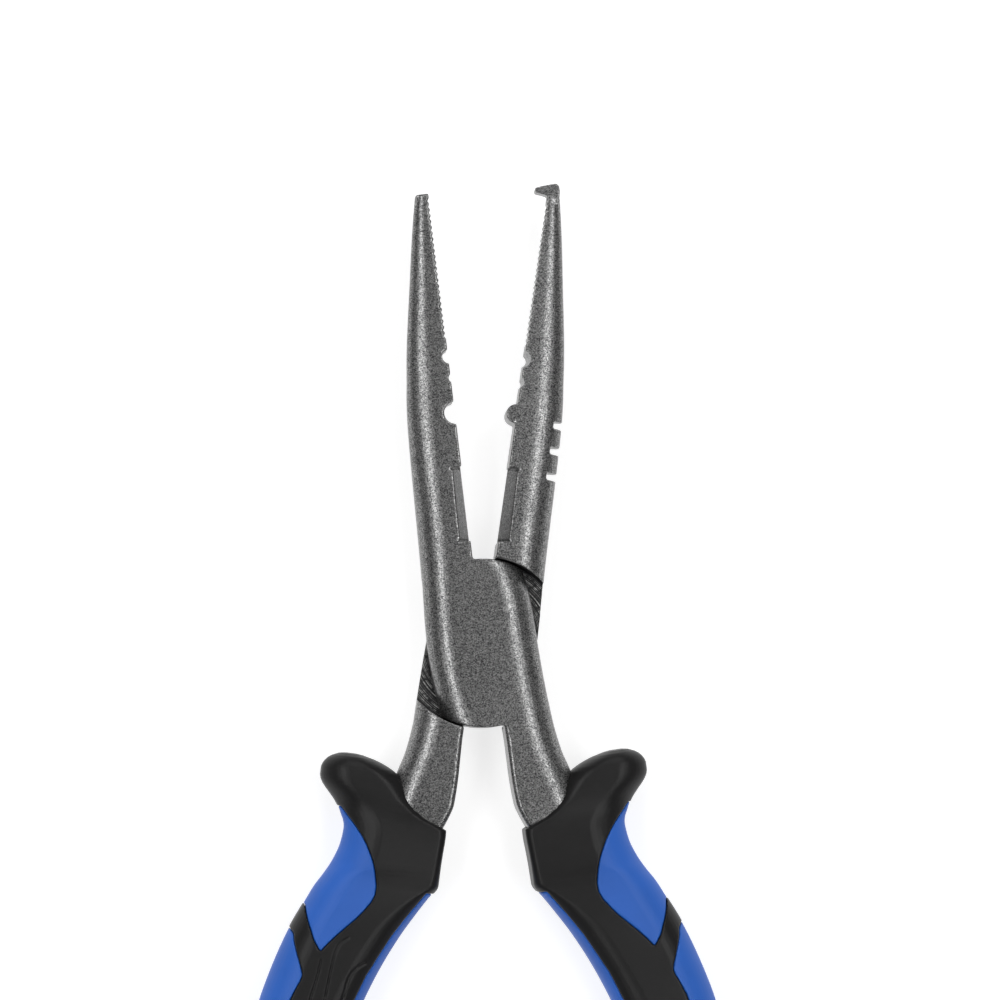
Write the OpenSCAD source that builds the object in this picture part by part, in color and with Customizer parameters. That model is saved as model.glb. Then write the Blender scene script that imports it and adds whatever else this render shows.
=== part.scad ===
// Long-nose fishing pliers with a hooked tip, side cutter and two-material grips.
// Frame: pivot axis is Z, the joint's back face lies at z = 0, the jaws point to +Y.
// Every half is drawn with its jaw on the -X side, closed, about the mid-plane of
// the joint. The lower half is the same forging turned over about Y.

/* [Overall] */
// Pivot to the end of the plain jaw tip
jaw_len = 91; // [76:0.5:110]
// Pivot to the butt of the grips
handle_len = 137; // [115:1:165]
// Width of the joint across the pivot
body_w = 22; // [18:0.5:27]
// Thickness of the closed joint
joint_t = 11; // [9:0.2:14]
// Angle between the jaws as drawn
open_angle = 15; // [0:1:30]

/* [Joint] */
// Radius of the round shoulders about the pivot
shoulder_r = 16.8; // [14.5:0.2:21]
// Running gap at the round shoulders
shoulder_gap = 0.3; // [0.2:0.05:0.5]
// Gap between the two lapped plates
lap_gap = 0.08; // [0.04:0.02:0.2]
// Diameter of the rivet shank
rivet_d = 8; // [6:0.5:9.6]
// Diameter of the sunk rivet heads
head_d = 11.6; // [10:0.2:14]
// Depth of the sunk rivet heads
head_h = 2; // [1.4:0.1:2.6]
// Radial running clearance of the rivet in the lower half
rivet_play = 0.03; // [0.02:0.01:0.08]

/* [Forging] */
// Width of the crowned outer edges seen from above
crown_w = 6; // [4:0.2:7]
// Drop of the crowned outer edges
crown_h = 4.2; // [3:0.1:4.3]

/* [Jaws] */
// Thickness of the jaws at the tip
tip_t = 3.8; // [3:0.1:5]
// Gap each side of the closing line
bite_gap = 0.1; // [0.05:0.01:0.2]
// Number of teeth
tooth_n = 24; // [16:1:28]
// Distance from tooth to tooth
tooth_pitch = 1.2; // [1:0.05:1.5]
// Depth of the teeth
tooth_depth = 0.45; // [0.3:0.05:0.7]
// Radius of the crimping bump
bump_r = 1.9; // [1.5:0.1:2.3]
// Clearance of the bump in its notch
bump_gap = 0.35; // [0.25:0.05:0.6]
// Width of the slots in the back of the hooked jaw
slot_w = 1.5; // [1:0.1:2]
// Depth of the slots in the back of the hooked jaw
slot_depth = 1.9; // [1.2:0.1:2.5]
// Length of the side cutter
cutter_len = 14.5; // [11:0.5:17]
// Width of the ground bevel of the cutter seen from above
cutter_bevel = 2.1; // [1.5:0.1:2.6]

/* [Handles] */
// Outward set of the right handle against its jaw
set_right = 1.5; // [-2:0.1:2]
// Outward set of the left handle against its jaw
set_left = -1.5; // [-2:0.1:2]
// How far the grips stand proud of the joint faces
grip_proud = 2.1; // [1.7:0.1:3]
// Wall of the soft cover over the hard core
cover_wall = 1.7; // [1.4:0.1:2]
// Open seam between cover and core panels
seam = 0.15; // [0.1:0.05:0.3]
// Gap left round the tang inside the core
tang_fit = 0.05; // [0.04:0.01:0.1]

/* [Hidden] */
$fn = 96;
ht = joint_t / 2;
kx = body_w / 22;
kj = (jaw_len - shoulder_r) / (91 - 16.8);
kh = (handle_len - shoulder_r) / (137 - 16.8);
half_open = open_angle / 2;
cut_r = shoulder_r + shoulder_gap;
metal = [0.42, 0.43, 0.45];
steel = [0.62, 0.62, 0.64];
rubber = [0.13, 0.13, 0.14];
blue = [0.16, 0.36, 0.72];

// Length along a jaw or a handle, stretched with the overall sizes
function ly(y) = abs(y) <= 16.8 ? y * shoulder_r / 16.8 :
    y > 0 ? shoulder_r + (y - 16.8) * kj : -shoulder_r + (y + 16.8) * kh;
// Half thickness of a jaw
function jaw_h(y) = let (t = min(1, max(0, (y - 19) / (91 - 19)))) ht + (tip_t / 2 - ht) * t;

// One corner of a section
function corner(cx, cz, rx, rz, a0, n) =
    [for (i = [0:n]) let (a = a0 + 90 * i / n) [cx + rx * cos(a), cz + rz * sin(a)]];
// Closed section between xl and xr: each side has its own corner radii
function section(s, n) =
    let (xl = s[1], xr = s[2], h = s[3], al = s[4], bl = s[5], ar = s[6], br = s[7])
    concat(corner(xr - ar, h - br, ar, br, 0, n), corner(xl + al, h - bl, al, bl, 90, n),
           corner(xl + al, bl - h, al, bl, 180, n), corner(xr - ar, br - h, ar, br, 270, n));
// Turn a point about the pivot, fading in below it
function turned(p, y, a) = let (t = a * min(1, max(0, -y / shoulder_r)))
    [p[0] * cos(t) - y * sin(t), p[0] * sin(t) + y * cos(t), p[1]];

// Skin over a list of sections given from the lowest y to the highest
module skin(st, n, a = 0) {
    k = 4 * (n + 1);
    m = len(st);
    pts = [for (s = st) for (p = section(s, n)) turned(p, s[0], a)];
    polyhedron(points = pts, faces = concat(
        [[for (j = [k - 1:-1:0]) j]],
        [[for (j = [0:k - 1]) (m - 1) * k + j]],
        [for (i = [0:m - 2]) for (j = [0:k - 1]) let (q = (j + 1) % k, up = (i + 1) * k)
            each [[i * k + j, i * k + q, up + q], [i * k + j, up + q, up + j]]]),
        convexity = 6);
}

// Tang and shank: y, inner x, outer x, share of thickness, inner rounding, share of crown
// Lapped body: y, left x, right x. Jaw: y, outer x
tang = [
    [-119, 24.8, 31.8, 0.44, 1.6, 0.4], [-112, 24.6, 32.4, 0.5, 1.8, 0.45], [-95, 24.2, 32.7, 0.52, 1.8, 0.5],
    [-76, 21.4, 30.4, 0.56, 1.8, 0.52], [-62, 16.4, 26.2, 0.6, 1.8, 0.55], [-51, 10.6, 21.6, 0.66, 1.8, 0.6],
    [-43, 6.2, 18.4, 0.78, 1.5, 0.75], [-38, 3.8, 16.6, 0.9, 1.2, 0.9], [-35.4, 2.75, 15.8, 0.96, 1.1, 1],
    [-32.5, 1.95, 14.9, 1, 1.0, 1], [-27, 1.75, 13.7, 1, 0.9, 1], [-23.5, 1.8, 12.7, 1, 0.9, 1],
    [-20, 1.85, 12.1, 1, 0.9, 1], [-17.06, 1.8, 11.75, 1, 0.8, 1]];
lap = [
    [-17, -8.3, 11.75], [-14, -9.7, 11.6], [-10, -10.4, 11.4], [-5, -10.85, 11.2], [0, -11, 11],
    [5, -10.9, 10.85], [10, -10.65, 10.4], [14, -10.45, 9.5], [17, -10.35, 8.1]];
jaw = [
    [17.06, 10.35], [21, 10.25], [28, 10.12], [36, 9.95], [42, 9.78], [46, 9.6], [50, 9.28], [54, 8.8],
    [58, 8.35], [62, 7.8], [67, 7.0], [73, 5.98], [79, 5.0], [85, 3.95], [91, 2.78]];

// One section of the tang or shank, grown by f all round
function tang_row(s, f) = let (h = s[3] * ht + f, end_room = f > 0 && s[0] == -119 ? 0.2 : 0)
    [ly(s[0]) - end_room, s[1] * kx - f, s[2] * kx + f, h,
     s[4], s[4] * 0.95, crown_w * s[5], min(crown_h * s[5], h - 0.1)];
function lap_row(s) = [ly(s[0]), s[1] * kx, s[2] * kx, ht, crown_w, crown_h, crown_w, crown_h];
function jaw_row(s) = let (h = jaw_h(s[0]), w = s[1] * kx)
    [ly(s[0]), -w, -bite_gap, h, min(crown_w, w * 0.66), min(crown_h, h * 0.82), 0.15, 0.15];

// Full-thickness forging with its jaw on the -X side
module blank(a) {
    tang_rows = [for (s = tang) tang_row(s, 0)];
    lap_rows = [for (s = lap) lap_row(s)];
    jaw_rows = [for (s = jaw) jaw_row(s)];
    skin(concat(tang_rows, lap_rows, jaw_rows), 4, a);
}

// Saw profile of the serrations, cut from the closing line into the jaw
module serration(phase) {
    y0 = ly(61.4) + phase * tooth_pitch;
    linear_extrude(height = 3 * ht, center = true) polygon(concat(
        [[1, y0 + tooth_n * tooth_pitch], [1, y0]],
        [for (i = [0:2 * tooth_n])
            [i % 2 == 0 ? -bite_gap + 0.02 : -bite_gap - tooth_depth, y0 + i * tooth_pitch / 2]]));
}

// Sharp side cutter: bevels from both faces, with a relief slot at each end
module cutter() {
    y0 = ly(20.8);
    deep = ht * 1.12;
    for (s = [0, 180]) rotate([0, s, 0]) translate([0, y0, 0]) mirror([s == 0 ? 0 : 1, 0, 0])
        rotate([-90, 0, 0]) linear_extrude(height = cutter_len)
            polygon([[-bite_gap, -0.12], [-bite_gap - cutter_bevel * 1.16, -deep], [3, -deep], [3, -0.12]]);
    for (y = [y0, y0 + cutter_len]) translate([-2.5, y - 0.25, -2 * ht]) cube([4, 0.5, 4 * ht]);
}

// Cuts shared by both halves: round shoulders, lap and closing face
module half(a) {
    difference() {
        blank(a);
        // outside of the round end of the lapped plate, jaw side and shank side
        difference() {
            union() {
                translate([-bite_gap, 0, -2 * ht]) cube([20 * kx, shoulder_r + 0.3, 4 * ht]);
                rotate([0, 0, a]) translate([-18.2 * kx, -shoulder_r - 0.3, -2 * ht])
                    cube([20 * kx, shoulder_r + 0.3, 4 * ht]);
            }
            cylinder(r = shoulder_r, h = 5 * ht, center = true, $fn = 192);
        }
        // room for the other plate
        translate([0, 0, lap_gap / 2 - 2 * ht]) cylinder(r = cut_r, h = 2 * ht, $fn = 192);
        cutter();
    }
}

module upper_blank() {
    difference() {
        half(set_right);
        serration(0);
        translate([0.1, ly(57.8), 0]) cylinder(r = 1.4, h = 3 * ht, center = true);
        translate([0.35, ly(53.4), 0]) cylinder(r = 0.9, h = 3 * ht, center = true);
        translate([0, ly(46.4), 0]) cylinder(r = bump_r + bump_gap, h = 3 * ht, center = true);
        // rivet seat, sunk from the front
        cylinder(d = rivet_d + 0.02, h = 4 * ht, center = true);
        translate([0, 0, ht - head_h]) cylinder(d1 = rivet_d + 0.02, d2 = head_d + 0.02, h = head_h);
        translate([0, 0, ht]) cylinder(d = head_d + 0.02, h = 1);
    }
}

module lower_blank() {
    y0 = jaw_len;
    difference() {
        union() {
            half(set_left);
            // crimping bump
            translate([0, ly(46.4), 0]) cylinder(r = bump_r, h = 2 * jaw_h(46.4) - 0.8, center = true);
            // hooked tip
            linear_extrude(height = tip_t - 0.2, center = true) polygon([
                [-2.7 * kx, y0 - 1.2], [-2.5 * kx, y0 + 1.5], [-2.15 * kx, y0 + 2.5], [-1.5 * kx, y0 + 2.9],
                [0, y0 + 2.4], [1.5, y0 + 1.85], [2.45, y0 + 1.5], [2.6, y0 + 1.1], [2.35, y0 + 0.75],
                [0.1, y0 + 0.25], [-bite_gap - 0.05, y0 + 0.2], [-bite_gap - 0.05, y0 - 1.2]]);
        }
        serration(-0.5);
        translate([0.35, ly(57.6), 0]) cylinder(r = 1.35, h = 3 * ht, center = true);
        translate([0.4, ly(52.8), 0]) cylinder(r = 0.9, h = 3 * ht, center = true);
        // slots in the back of the jaw
        for (y = [45.4, 40.4, 35.1]) translate([-12 * kx, ly(y) - slot_w / 2, -2 * ht])
            cube([2.25 * kx + slot_depth, slot_w, 4 * ht]);
        // bore for the rivet, sunk from the back (this half is turned over)
        bore_d = rivet_d + 2 * rivet_play;
        cylinder(d = bore_d, h = 4 * ht, center = true);
        translate([0, 0, ht - head_h]) cylinder(d1 = bore_d, d2 = head_d + 4 * rivet_play, h = head_h);
        translate([0, 0, ht]) cylinder(d = head_d + 4 * rivet_play, h = 1);
    }
}

// Outside of a grip, butt first: y, inner x, outer x, share of full thickness, radii
grip = [
    [-137, 23.6, 28.6, 0.42, 2, 2, 2, 2], [-136.3, 21.6, 31, 0.62, 3.2, 3.2, 3.2, 3.2],
    [-134.4, 19.3, 33.4, 0.78, 4.2, 4.2, 4.2, 4.2], [-131, 17.9, 35.1, 0.89, 4.8, 5, 4.8, 5],
    [-125, 17.9, 36.2, 0.95, 5, 5.4, 5, 5.4], [-115, 18.9, 37.3, 0.98, 5, 5.6, 5, 5.6],
    [-105, 19.3, 37.9, 1, 5, 5.6, 5, 5.6], [-95, 19, 37.9, 1, 5, 5.6, 5, 5.6],
    [-86, 17.9, 37.3, 1, 5, 5.6, 5, 5.6], [-76, 15.8, 35.9, 1, 5, 5.6, 5, 5.6],
    [-68, 13.1, 34, 1, 5, 5.6, 5, 5.6], [-60, 9.5, 31.4, 0.99, 5, 5.6, 5, 5.6],
    [-55, 6.7, 29.2, 0.985, 5, 5.5, 5, 5.5], [-51.5, 4.6, 27.6, 0.975, 3.2, 4.2, 5, 5.4],
    [-49, 3.1, 26.1, 0.965, 1.8, 2.4, 5, 5.4], [-46, 3.1, 24.6, 0.955, 1.4, 1.8, 4.8, 5.3],
    [-42.5, 3, 23.5, 0.94, 1.3, 1.6, 4.6, 5.2], [-39.5, 2.85, 23.2, 0.93, 1.3, 1.5, 4.4, 5],
    [-37.8, 2.9, 23.6, 0.925, 1.6, 1.4, 4.4, 5], [-37.1, 4.4, 24, 0.92, 1.4, 1.1, 4.4, 4.9],
    [-36, 7, 24.5, 0.915, 1.3, 1.1, 4.4, 4.9], [-34.4, 9.2, 25.5, 0.91, 1.3, 1.1, 4.4, 4.8],
    [-32.8, 10.8, 26.9, 0.905, 1.3, 1.1, 4.4, 4.8], [-31.2, 11.8, 28.3, 0.895, 1.5, 1.3, 4.2, 4.7],
    [-29.6, 12.5, 29, 0.885, 2, 2, 4.2, 4.6], [-28, 13.6, 29, 0.86, 3, 3.4, 4, 4.4],
    [-26.6, 15.8, 28.4, 0.79, 3.6, 4, 4, 4], [-25.5, 18.6, 27.2, 0.67, 3, 3.4, 3, 3.4],
    [-24.9, 21, 25.8, 0.5, 1.6, 2.2, 1.6, 2.2]];
gh = ht + grip_proud;
module grip_skin() {
    skin([for (s = grip) let (h = s[3] * gh)
        [ly(s[0]), s[1] * kx, s[2] * kx, h, s[4], min(s[5], h - 0.1), s[6], min(s[7], h - 0.1)]], 3);
}
// Hidden hard core under the cover: close to the inner edge along the thin strip
function core_r(r) = max(1, r - cover_wall / 2);
function core_row(s, y, inner, outer) = let (h = s[3] * gh - cover_wall)
    [ly(y), s[1] * kx + inner, s[2] * kx - outer, h,
     core_r(s[4]), min(core_r(s[5]), h - 0.1), core_r(s[6]), min(core_r(s[7]), h - 0.1)];
module core_skin() {
    w = cover_wall;
    strip_wall = 0.9;
    skin(concat([core_row(grip[2], -133.2, w + 1, w + 1)],
        [for (i = [3:16]) let (s = grip[i])
            core_row(s, s[0], s[0] < -54 && s[0] > -118 ? strip_wall : w, w)],
        [core_row(grip[17], -40.6, w, w)]), 3);
}
// Panels where the core shows: behind the guard, along the back, and the inner strip
upper_win = [
    [24.2, -35.4], [22.6, -37.1], [21, -38.8], [19.6, -40.5], [18.5, -42.1], [17.6, -43.7],
    [16.8, -45.3], [16.2, -47], [15.8, -48.6], [15.45, -50.3], [15.5, -52], [16.2, -53.7],
    [17.4, -55.4], [18.8, -57.2], [20.4, -58.9], [22, -60.6], [23.5, -62.3], [24.9, -64.2],
    [26.4, -62.2], [27.1, -60.6], [27.9, -58.9], [28.5, -57.2], [28.9, -55.6], [29.6, -54.9],
    [44, -54.9], [44, -35.4]];
lower_win = [
    [44, -60.4], [31.4, -60.4], [30.5, -61.4], [30.2, -63], [29.6, -64.7], [29.0, -66.2], [28.3, -67.9],
    [27.9, -69.1], [28.1, -70.3], [28.6, -71.4], [29.8, -74.6], [31.3, -82], [32.2, -90], [32.4, -98],
    [32.3, -106], [32.0, -112], [33.2, -118], [36.2, -121.5], [44, -121.5]];
inner_win = [
    [-3, -50.6], [5.4, -50.6], [8.1, -54.6], [11.4, -60], [15.3, -68], [18.1, -76], [20.2, -86],
    [21.2, -95], [21.4, -105], [20.9, -115], [19.4, -118], [-3, -118]];
module window(w, d) {
    c = [for (p = w) [p[0] * kx, ly(p[1])]];
    n = len(c);
    // move every edge sideways by d, keeping straight edges straight
    linear_extrude(height = 4 * gh, center = true) polygon([for (i = [0:n - 1])
        let (a = c[(i + n - 1) % n], b = c[i], e = c[(i + 1) % n],
             u = (b - a) / norm(b - a), v = (e - b) / norm(e - b),
             m = [u[1] + v[1], -u[0] - v[0]], q = d / max(0.35, 1 + u * v))
        b + m * q]);
}
module windows(d) {
    window(upper_win, d);
    window(lower_win, d);
    window(inner_win, -d);
}

module shank_void() {
    skin([for (s = tang) tang_row(s, tang_fit)], 4);
}
module grip_core() {
    difference() {
        union() {
            core_skin();
            intersection() {
                grip_skin();
                windows(-seam / 2);
            }
        }
        shank_void();
    }
}
module grip_cover() {
    difference() {
        grip_skin();
        core_skin();
        windows(seam / 2);
        shank_void();
    }
}

// Place the right-hand parts and, turned over, the left-hand ones
module right_side() { translate([0, 0, ht]) rotate([0, 0, half_open]) children(); }
module left_side() { translate([0, 0, ht]) rotate([0, 0, -half_open]) rotate([0, 180, 0]) children(); }

module upper_half() { color(metal) right_side() upper_blank(); }
module lower_half() { color(metal) left_side() lower_blank(); }
module pivot_rivet() {
    // tight in the upper half, running in the lower one, both heads flush
    color(steel) right_side() {
        cylinder(d = rivet_d, h = joint_t - 2, center = true);
        translate([0, 0, ht - head_h]) cylinder(d1 = rivet_d, d2 = head_d, h = head_h);
        translate([0, 0, -ht]) cylinder(d1 = head_d, d2 = rivet_d, h = head_h);
    }
}
module right_grip_core() { color(blue) right_side() rotate([0, 0, set_right]) grip_core(); }
module right_grip_cover() { color(rubber) right_side() rotate([0, 0, set_right]) grip_cover(); }
module left_grip_core() { color(blue) left_side() rotate([0, 0, set_left]) grip_core(); }
module left_grip_cover() { color(rubber) left_side() rotate([0, 0, set_left]) grip_cover(); }

lower_half();
upper_half();
pivot_rivet();
right_grip_core();
right_grip_cover();
left_grip_core();
left_grip_cover();
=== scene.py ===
"""Long-nose fishing pliers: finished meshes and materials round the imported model.

Shapes are worked out in millimetres in the closed position, with each half's jaw on
the -X side, and are then put in place and scaled to metres. The lower half and the
left grip are the same shapes turned over about Y.
"""
import math

import bmesh
import bpy
import numpy as np
from mathutils import Matrix, Vector


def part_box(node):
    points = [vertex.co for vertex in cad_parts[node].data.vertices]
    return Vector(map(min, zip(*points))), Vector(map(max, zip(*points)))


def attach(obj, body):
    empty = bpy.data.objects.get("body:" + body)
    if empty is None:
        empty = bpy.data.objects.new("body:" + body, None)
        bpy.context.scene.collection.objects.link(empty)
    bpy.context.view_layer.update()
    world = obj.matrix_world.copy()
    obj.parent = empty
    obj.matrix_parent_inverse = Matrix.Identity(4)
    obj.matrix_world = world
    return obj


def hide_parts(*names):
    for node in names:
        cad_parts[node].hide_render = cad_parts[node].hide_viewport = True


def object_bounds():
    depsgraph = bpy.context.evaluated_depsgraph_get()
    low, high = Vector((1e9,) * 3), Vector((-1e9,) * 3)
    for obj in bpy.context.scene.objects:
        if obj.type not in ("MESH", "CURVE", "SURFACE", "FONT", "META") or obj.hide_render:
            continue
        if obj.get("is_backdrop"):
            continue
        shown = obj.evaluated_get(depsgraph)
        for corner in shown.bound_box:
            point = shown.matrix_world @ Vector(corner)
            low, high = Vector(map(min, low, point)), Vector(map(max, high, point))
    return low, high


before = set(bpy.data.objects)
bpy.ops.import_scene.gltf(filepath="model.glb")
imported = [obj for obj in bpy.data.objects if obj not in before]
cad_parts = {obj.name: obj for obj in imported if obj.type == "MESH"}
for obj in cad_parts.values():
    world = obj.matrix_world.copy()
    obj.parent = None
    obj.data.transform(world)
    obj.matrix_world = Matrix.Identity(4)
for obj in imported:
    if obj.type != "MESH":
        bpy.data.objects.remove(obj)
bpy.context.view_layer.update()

bl_info = {
    "name": "Fishing Pliers",
    "version": (1, 0, 0),
    "blender": (4, 5, 0),
    "location": "3D View > Sidebar > Pliers",
    "description": "Builds long-nose fishing pliers with painted jaws and two-material grips",
    "category": "Add Mesh",
}

MM = 0.001
# Most triangles in one piece, and the reach of a cutter that has to pass right through
FACE_LIMIT = 190000
FAR = 20

# Thickness of the joint and the height of its middle plane
JOINT_T = (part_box("pivot_rivet")[1].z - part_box("pivot_rivet")[0].z) / MM
MID = JOINT_T / 2
# Round shoulders, their running gap, and the gap between the lapped plates
SHOULDER_R = 16.8
RUNNING_GAP = 0.3
LAP_GAP = 0.08
# Jaws: length from the pivot, half gap when closed, thickness at the tip, start of the cutter
JAW_LEN = 91.0
BITE = 0.1
TIP_T = 3.8
CUTTER_Y = 20.8
# Places of the crimping bump, the first tooth and the first slot in the back
BUMP_Y = 46.4
TEETH_Y = 61.4
SLOTS_Y, SLOT_PITCH = 34.25, 5.2
# Rounding of the outer edges of the forgings
CROWN_W, CROWN_H = 6.0, 4.2
# Rivet: radius of the shank, radius and height of the head
RIVET_R, HEAD_R, HEAD_H = 4.0, 5.8, 2.0
# Grips: height above the joint, walls of the cover, room round the tang
PROUD = 2.1
COVER_WALL, STRIP_WALL = 0.9, 0.55
TANG_ROOM = 0.05
# Half the opening at rest, and how far each handle is set outwards, in degrees
HALF_OPEN = 7.5
SET_RIGHT, SET_LEFT = 1.5, -1.5
# Grain of the paint
GRAIN_MM, FINE_MM = 0.22, 0.27
SENSOR_MM = 36.0

# Tang and shank: y, inner x, outer x, share of thickness, inner rounding, share of crown
TANG = [
    (-119, 24.8, 31.8, 0.44, 1.6, 0.4), (-112, 24.6, 32.4, 0.5, 1.8, 0.45),
    (-95, 24.2, 32.7, 0.52, 1.8, 0.5), (-76, 21.4, 30.4, 0.56, 1.8, 0.52),
    (-62, 16.4, 26.2, 0.6, 1.8, 0.55), (-51, 10.6, 21.6, 0.66, 1.8, 0.6),
    (-43, 6.2, 18.4, 0.78, 1.5, 0.75), (-38, 3.8, 16.6, 0.9, 1.2, 0.9),
    (-35.4, 2.75, 15.8, 0.96, 1.1, 1), (-32.5, 1.95, 14.9, 1, 1.0, 1),
    (-27, 1.75, 13.7, 1, 0.9, 1), (-23.5, 1.8, 12.7, 1, 0.9, 1),
    (-20, 1.85, 12.1, 1, 0.9, 1), (-17.06, 1.8, 11.75, 1, 0.8, 1)]
# Lapped body: y, left x, right x
LAP = [
    (-17, -8.3, 11.75), (-14, -9.7, 11.6), (-10, -10.4, 11.4), (-5, -10.85, 11.2),
    (0, -11, 11), (5, -10.9, 10.85), (10, -10.65, 10.4), (14, -10.45, 9.5), (17, -10.35, 8.1)]
# Jaw: y, outer x
JAW = [
    (17.06, 10.35), (21, 10.25), (28, 10.12), (36, 9.95), (42, 9.78), (46, 9.6), (50, 9.28),
    (54, 8.8), (58, 8.35), (62, 7.8), (67, 7.0), (73, 5.98), (79, 5.0), (85, 3.95),
    (JAW_LEN, 2.78)]
# Outside of a grip: y, inner x, outer x, share of thickness, inner and outer rounding (x, z)
GRIP = [
    (-137.15, 25.0, 27.4, 0.2, 1.0, 0.8, 1.0, 0.8), (-137, 23.6, 28.6, 0.42, 2.0, 2.0, 2.0, 2.0),
    (-136.3, 21.6, 31.0, 0.62, 3.2, 3.2, 3.2, 3.2), (-134.4, 19.3, 33.4, 0.78, 4.6, 4.2, 4.6, 4.2),
    (-131, 17.9, 35.1, 0.89, 5.6, 5.0, 5.6, 5.0), (-125, 17.9, 36.2, 0.95, 6.2, 5.4, 6.2, 5.4),
    (-115, 18.9, 37.3, 0.98, 6.4, 5.6, 6.4, 5.6), (-105, 19.3, 37.9, 1, 6.4, 5.6, 6.4, 5.6),
    (-95, 19.0, 37.9, 1, 6.4, 5.6, 6.4, 5.6), (-86, 17.9, 37.3, 1, 6.4, 5.6, 6.4, 5.6),
    (-76, 15.8, 35.9, 1, 6.4, 5.6, 6.4, 5.6), (-68, 13.1, 34.0, 1, 6.2, 5.6, 6.4, 5.6),
    (-60, 9.5, 31.4, 0.99, 6, 5.6, 6.4, 5.6), (-55, 6.7, 29.2, 0.985, 5, 5.2, 6.4, 5.5),
    (-51.5, 4.6, 27.6, 0.975, 3.2, 4.2, 6.2, 5.4), (-49, 3.1, 26.1, 0.965, 1.8, 2.4, 6, 5.4),
    (-46, 3.1, 24.6, 0.955, 1.4, 1.8, 8.0, 5.3), (-42.5, 3.0, 23.5, 0.94, 1.3, 1.6, 7.8, 5.2),
    (-39.5, 2.85, 23.2, 0.93, 1.3, 1.5, 7.6, 5.0), (-37.8, 2.9, 23.6, 0.925, 1.6, 1.4, 7.6, 5.0),
    (-37.1, 4.4, 24.0, 0.92, 1.8, 1.3, 7.4, 4.9), (-36.0, 7.0, 24.5, 0.915, 2.0, 1.5, 7.2, 4.9),
    (-34.4, 9.2, 25.5, 0.91, 2.4, 1.7, 6.8, 4.8), (-32.8, 10.8, 26.9, 0.905, 2.8, 1.9, 6.4, 4.8),
    (-31.2, 11.8, 28.3, 0.895, 3.2, 2.2, 6.2, 4.7), (-29.6, 12.5, 29.0, 0.885, 4.0, 2.8, 6.0, 4.6),
    (-28.0, 13.6, 29.0, 0.86, 5.0, 3.6, 5.6, 4.4), (-26.6, 15.8, 28.4, 0.79, 5.2, 4, 5.0, 4),
    (-25.5, 18.6, 27.2, 0.67, 3.8, 3.4, 3.8, 3.4), (-24.9, 21.0, 25.8, 0.5, 1.6, 2.2, 1.6, 2.2),
    (-24.7, 22.4, 24.6, 0.25, 0.7, 0.9, 0.7, 0.9)]
# Panels where the core shows: behind the guard, along the back, and the inner strip
UPPER_PANEL = [
    (44, -35.4), (24.2, -35.4), (22.6, -37.1), (21.0, -38.8), (19.6, -40.5), (18.5, -42.1),
    (17.6, -43.7), (16.8, -45.3), (16.2, -47), (15.8, -48.6), (15.45, -50.3), (15.5, -52),
    (16.2, -53.7), (17.4, -55.4), (18.8, -57.2), (20.4, -58.9), (22.0, -60.6), (23.5, -62.3),
    (24.9, -64.2), (26.4, -62.2), (27.1, -60.6), (27.9, -58.9), (28.5, -57.2), (28.9, -55.6),
    (29.6, -54.9), (44, -54.9)]
LOWER_PANEL = [
    (44, -60.4), (31.4, -60.4), (30.5, -61.4), (30.2, -63), (29.6, -64.7), (29.0, -66.2),
    (28.3, -67.9), (27.9, -69.1), (28.1, -70.3), (28.6, -71.4), (29.8, -74.6), (31.3, -82),
    (32.2, -90), (32.4, -98), (32.3, -106), (32.0, -112), (33.2, -118), (36.2, -121.5),
    (44, -121.5)]
INNER_STRIP = [
    (-3, -118), (19.4, -118), (20.9, -115), (21.4, -105), (21.2, -95), (20.2, -86),
    (18.1, -76), (15.3, -68), (11.4, -60), (8.1, -54.6), (5.4, -50.6), (-3, -50.6)]
# Engraved contour lines on one face of each grip
ENGRAVED = [
    [(24.5, -65.6), (25.0, -69.6), (26.0, -74.8), (27.3, -84), (28.1, -95), (28.2, -106),
     (28.0, -114)],
    [(19.6, -60.9), (21.4, -62.4), (22.1, -64.8), (22.5, -68.5), (23.0, -74.2), (24.3, -84),
     (25.0, -95), (25.1, -106), (25.0, -112)],
    [(15.6, -65.5), (17.6, -66.8), (18.7, -68.8), (19.2, -71.5), (19.9, -77), (21.3, -86),
     (22.0, -95), (22.2, -106), (22.1, -110)]]


# ---------------------------------------------------------------- shapes in millimetres

def share(value):
    """The value, kept between 0 and 1."""
    return min(1, max(0, value))


def smooth_rows(rows, step):
    """Rows every step along y, through the given ones, with no overshoot."""
    table = np.array(rows, float)
    y, cols = table[:, 0], table[:, 1:]
    h = np.diff(y)
    slope = np.diff(cols, axis=0) / h[:, None]
    grad = np.zeros_like(cols)
    grad[0], grad[-1] = slope[0], slope[-1]
    for i in range(1, len(y) - 1):
        a, b = slope[i - 1], slope[i]
        w1, w2 = 2 * h[i] + h[i - 1], h[i] + 2 * h[i - 1]
        same = a * b > 0
        mean = (w1 + w2) / (w1 / np.where(same, a, 1) + w2 / np.where(same, b, 1))
        grad[i] = np.where(same, mean, 0)
    out = []
    for i in range(len(h)):
        n = max(1, int(math.ceil(h[i] / step)))
        for t in np.arange(n) / n:
            h00, h10 = 2 * t**3 - 3 * t**2 + 1, t**3 - 2 * t**2 + t
            h01, h11 = -2 * t**3 + 3 * t**2, t**3 - t**2
            row = (h00 * cols[i] + h10 * h[i] * grad[i] + h01 * cols[i + 1]
                   + h11 * h[i] * grad[i + 1])
            out.append((y[i] + t * h[i], *row))
    out.append((y[-1], *cols[-1]))
    return out


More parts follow.
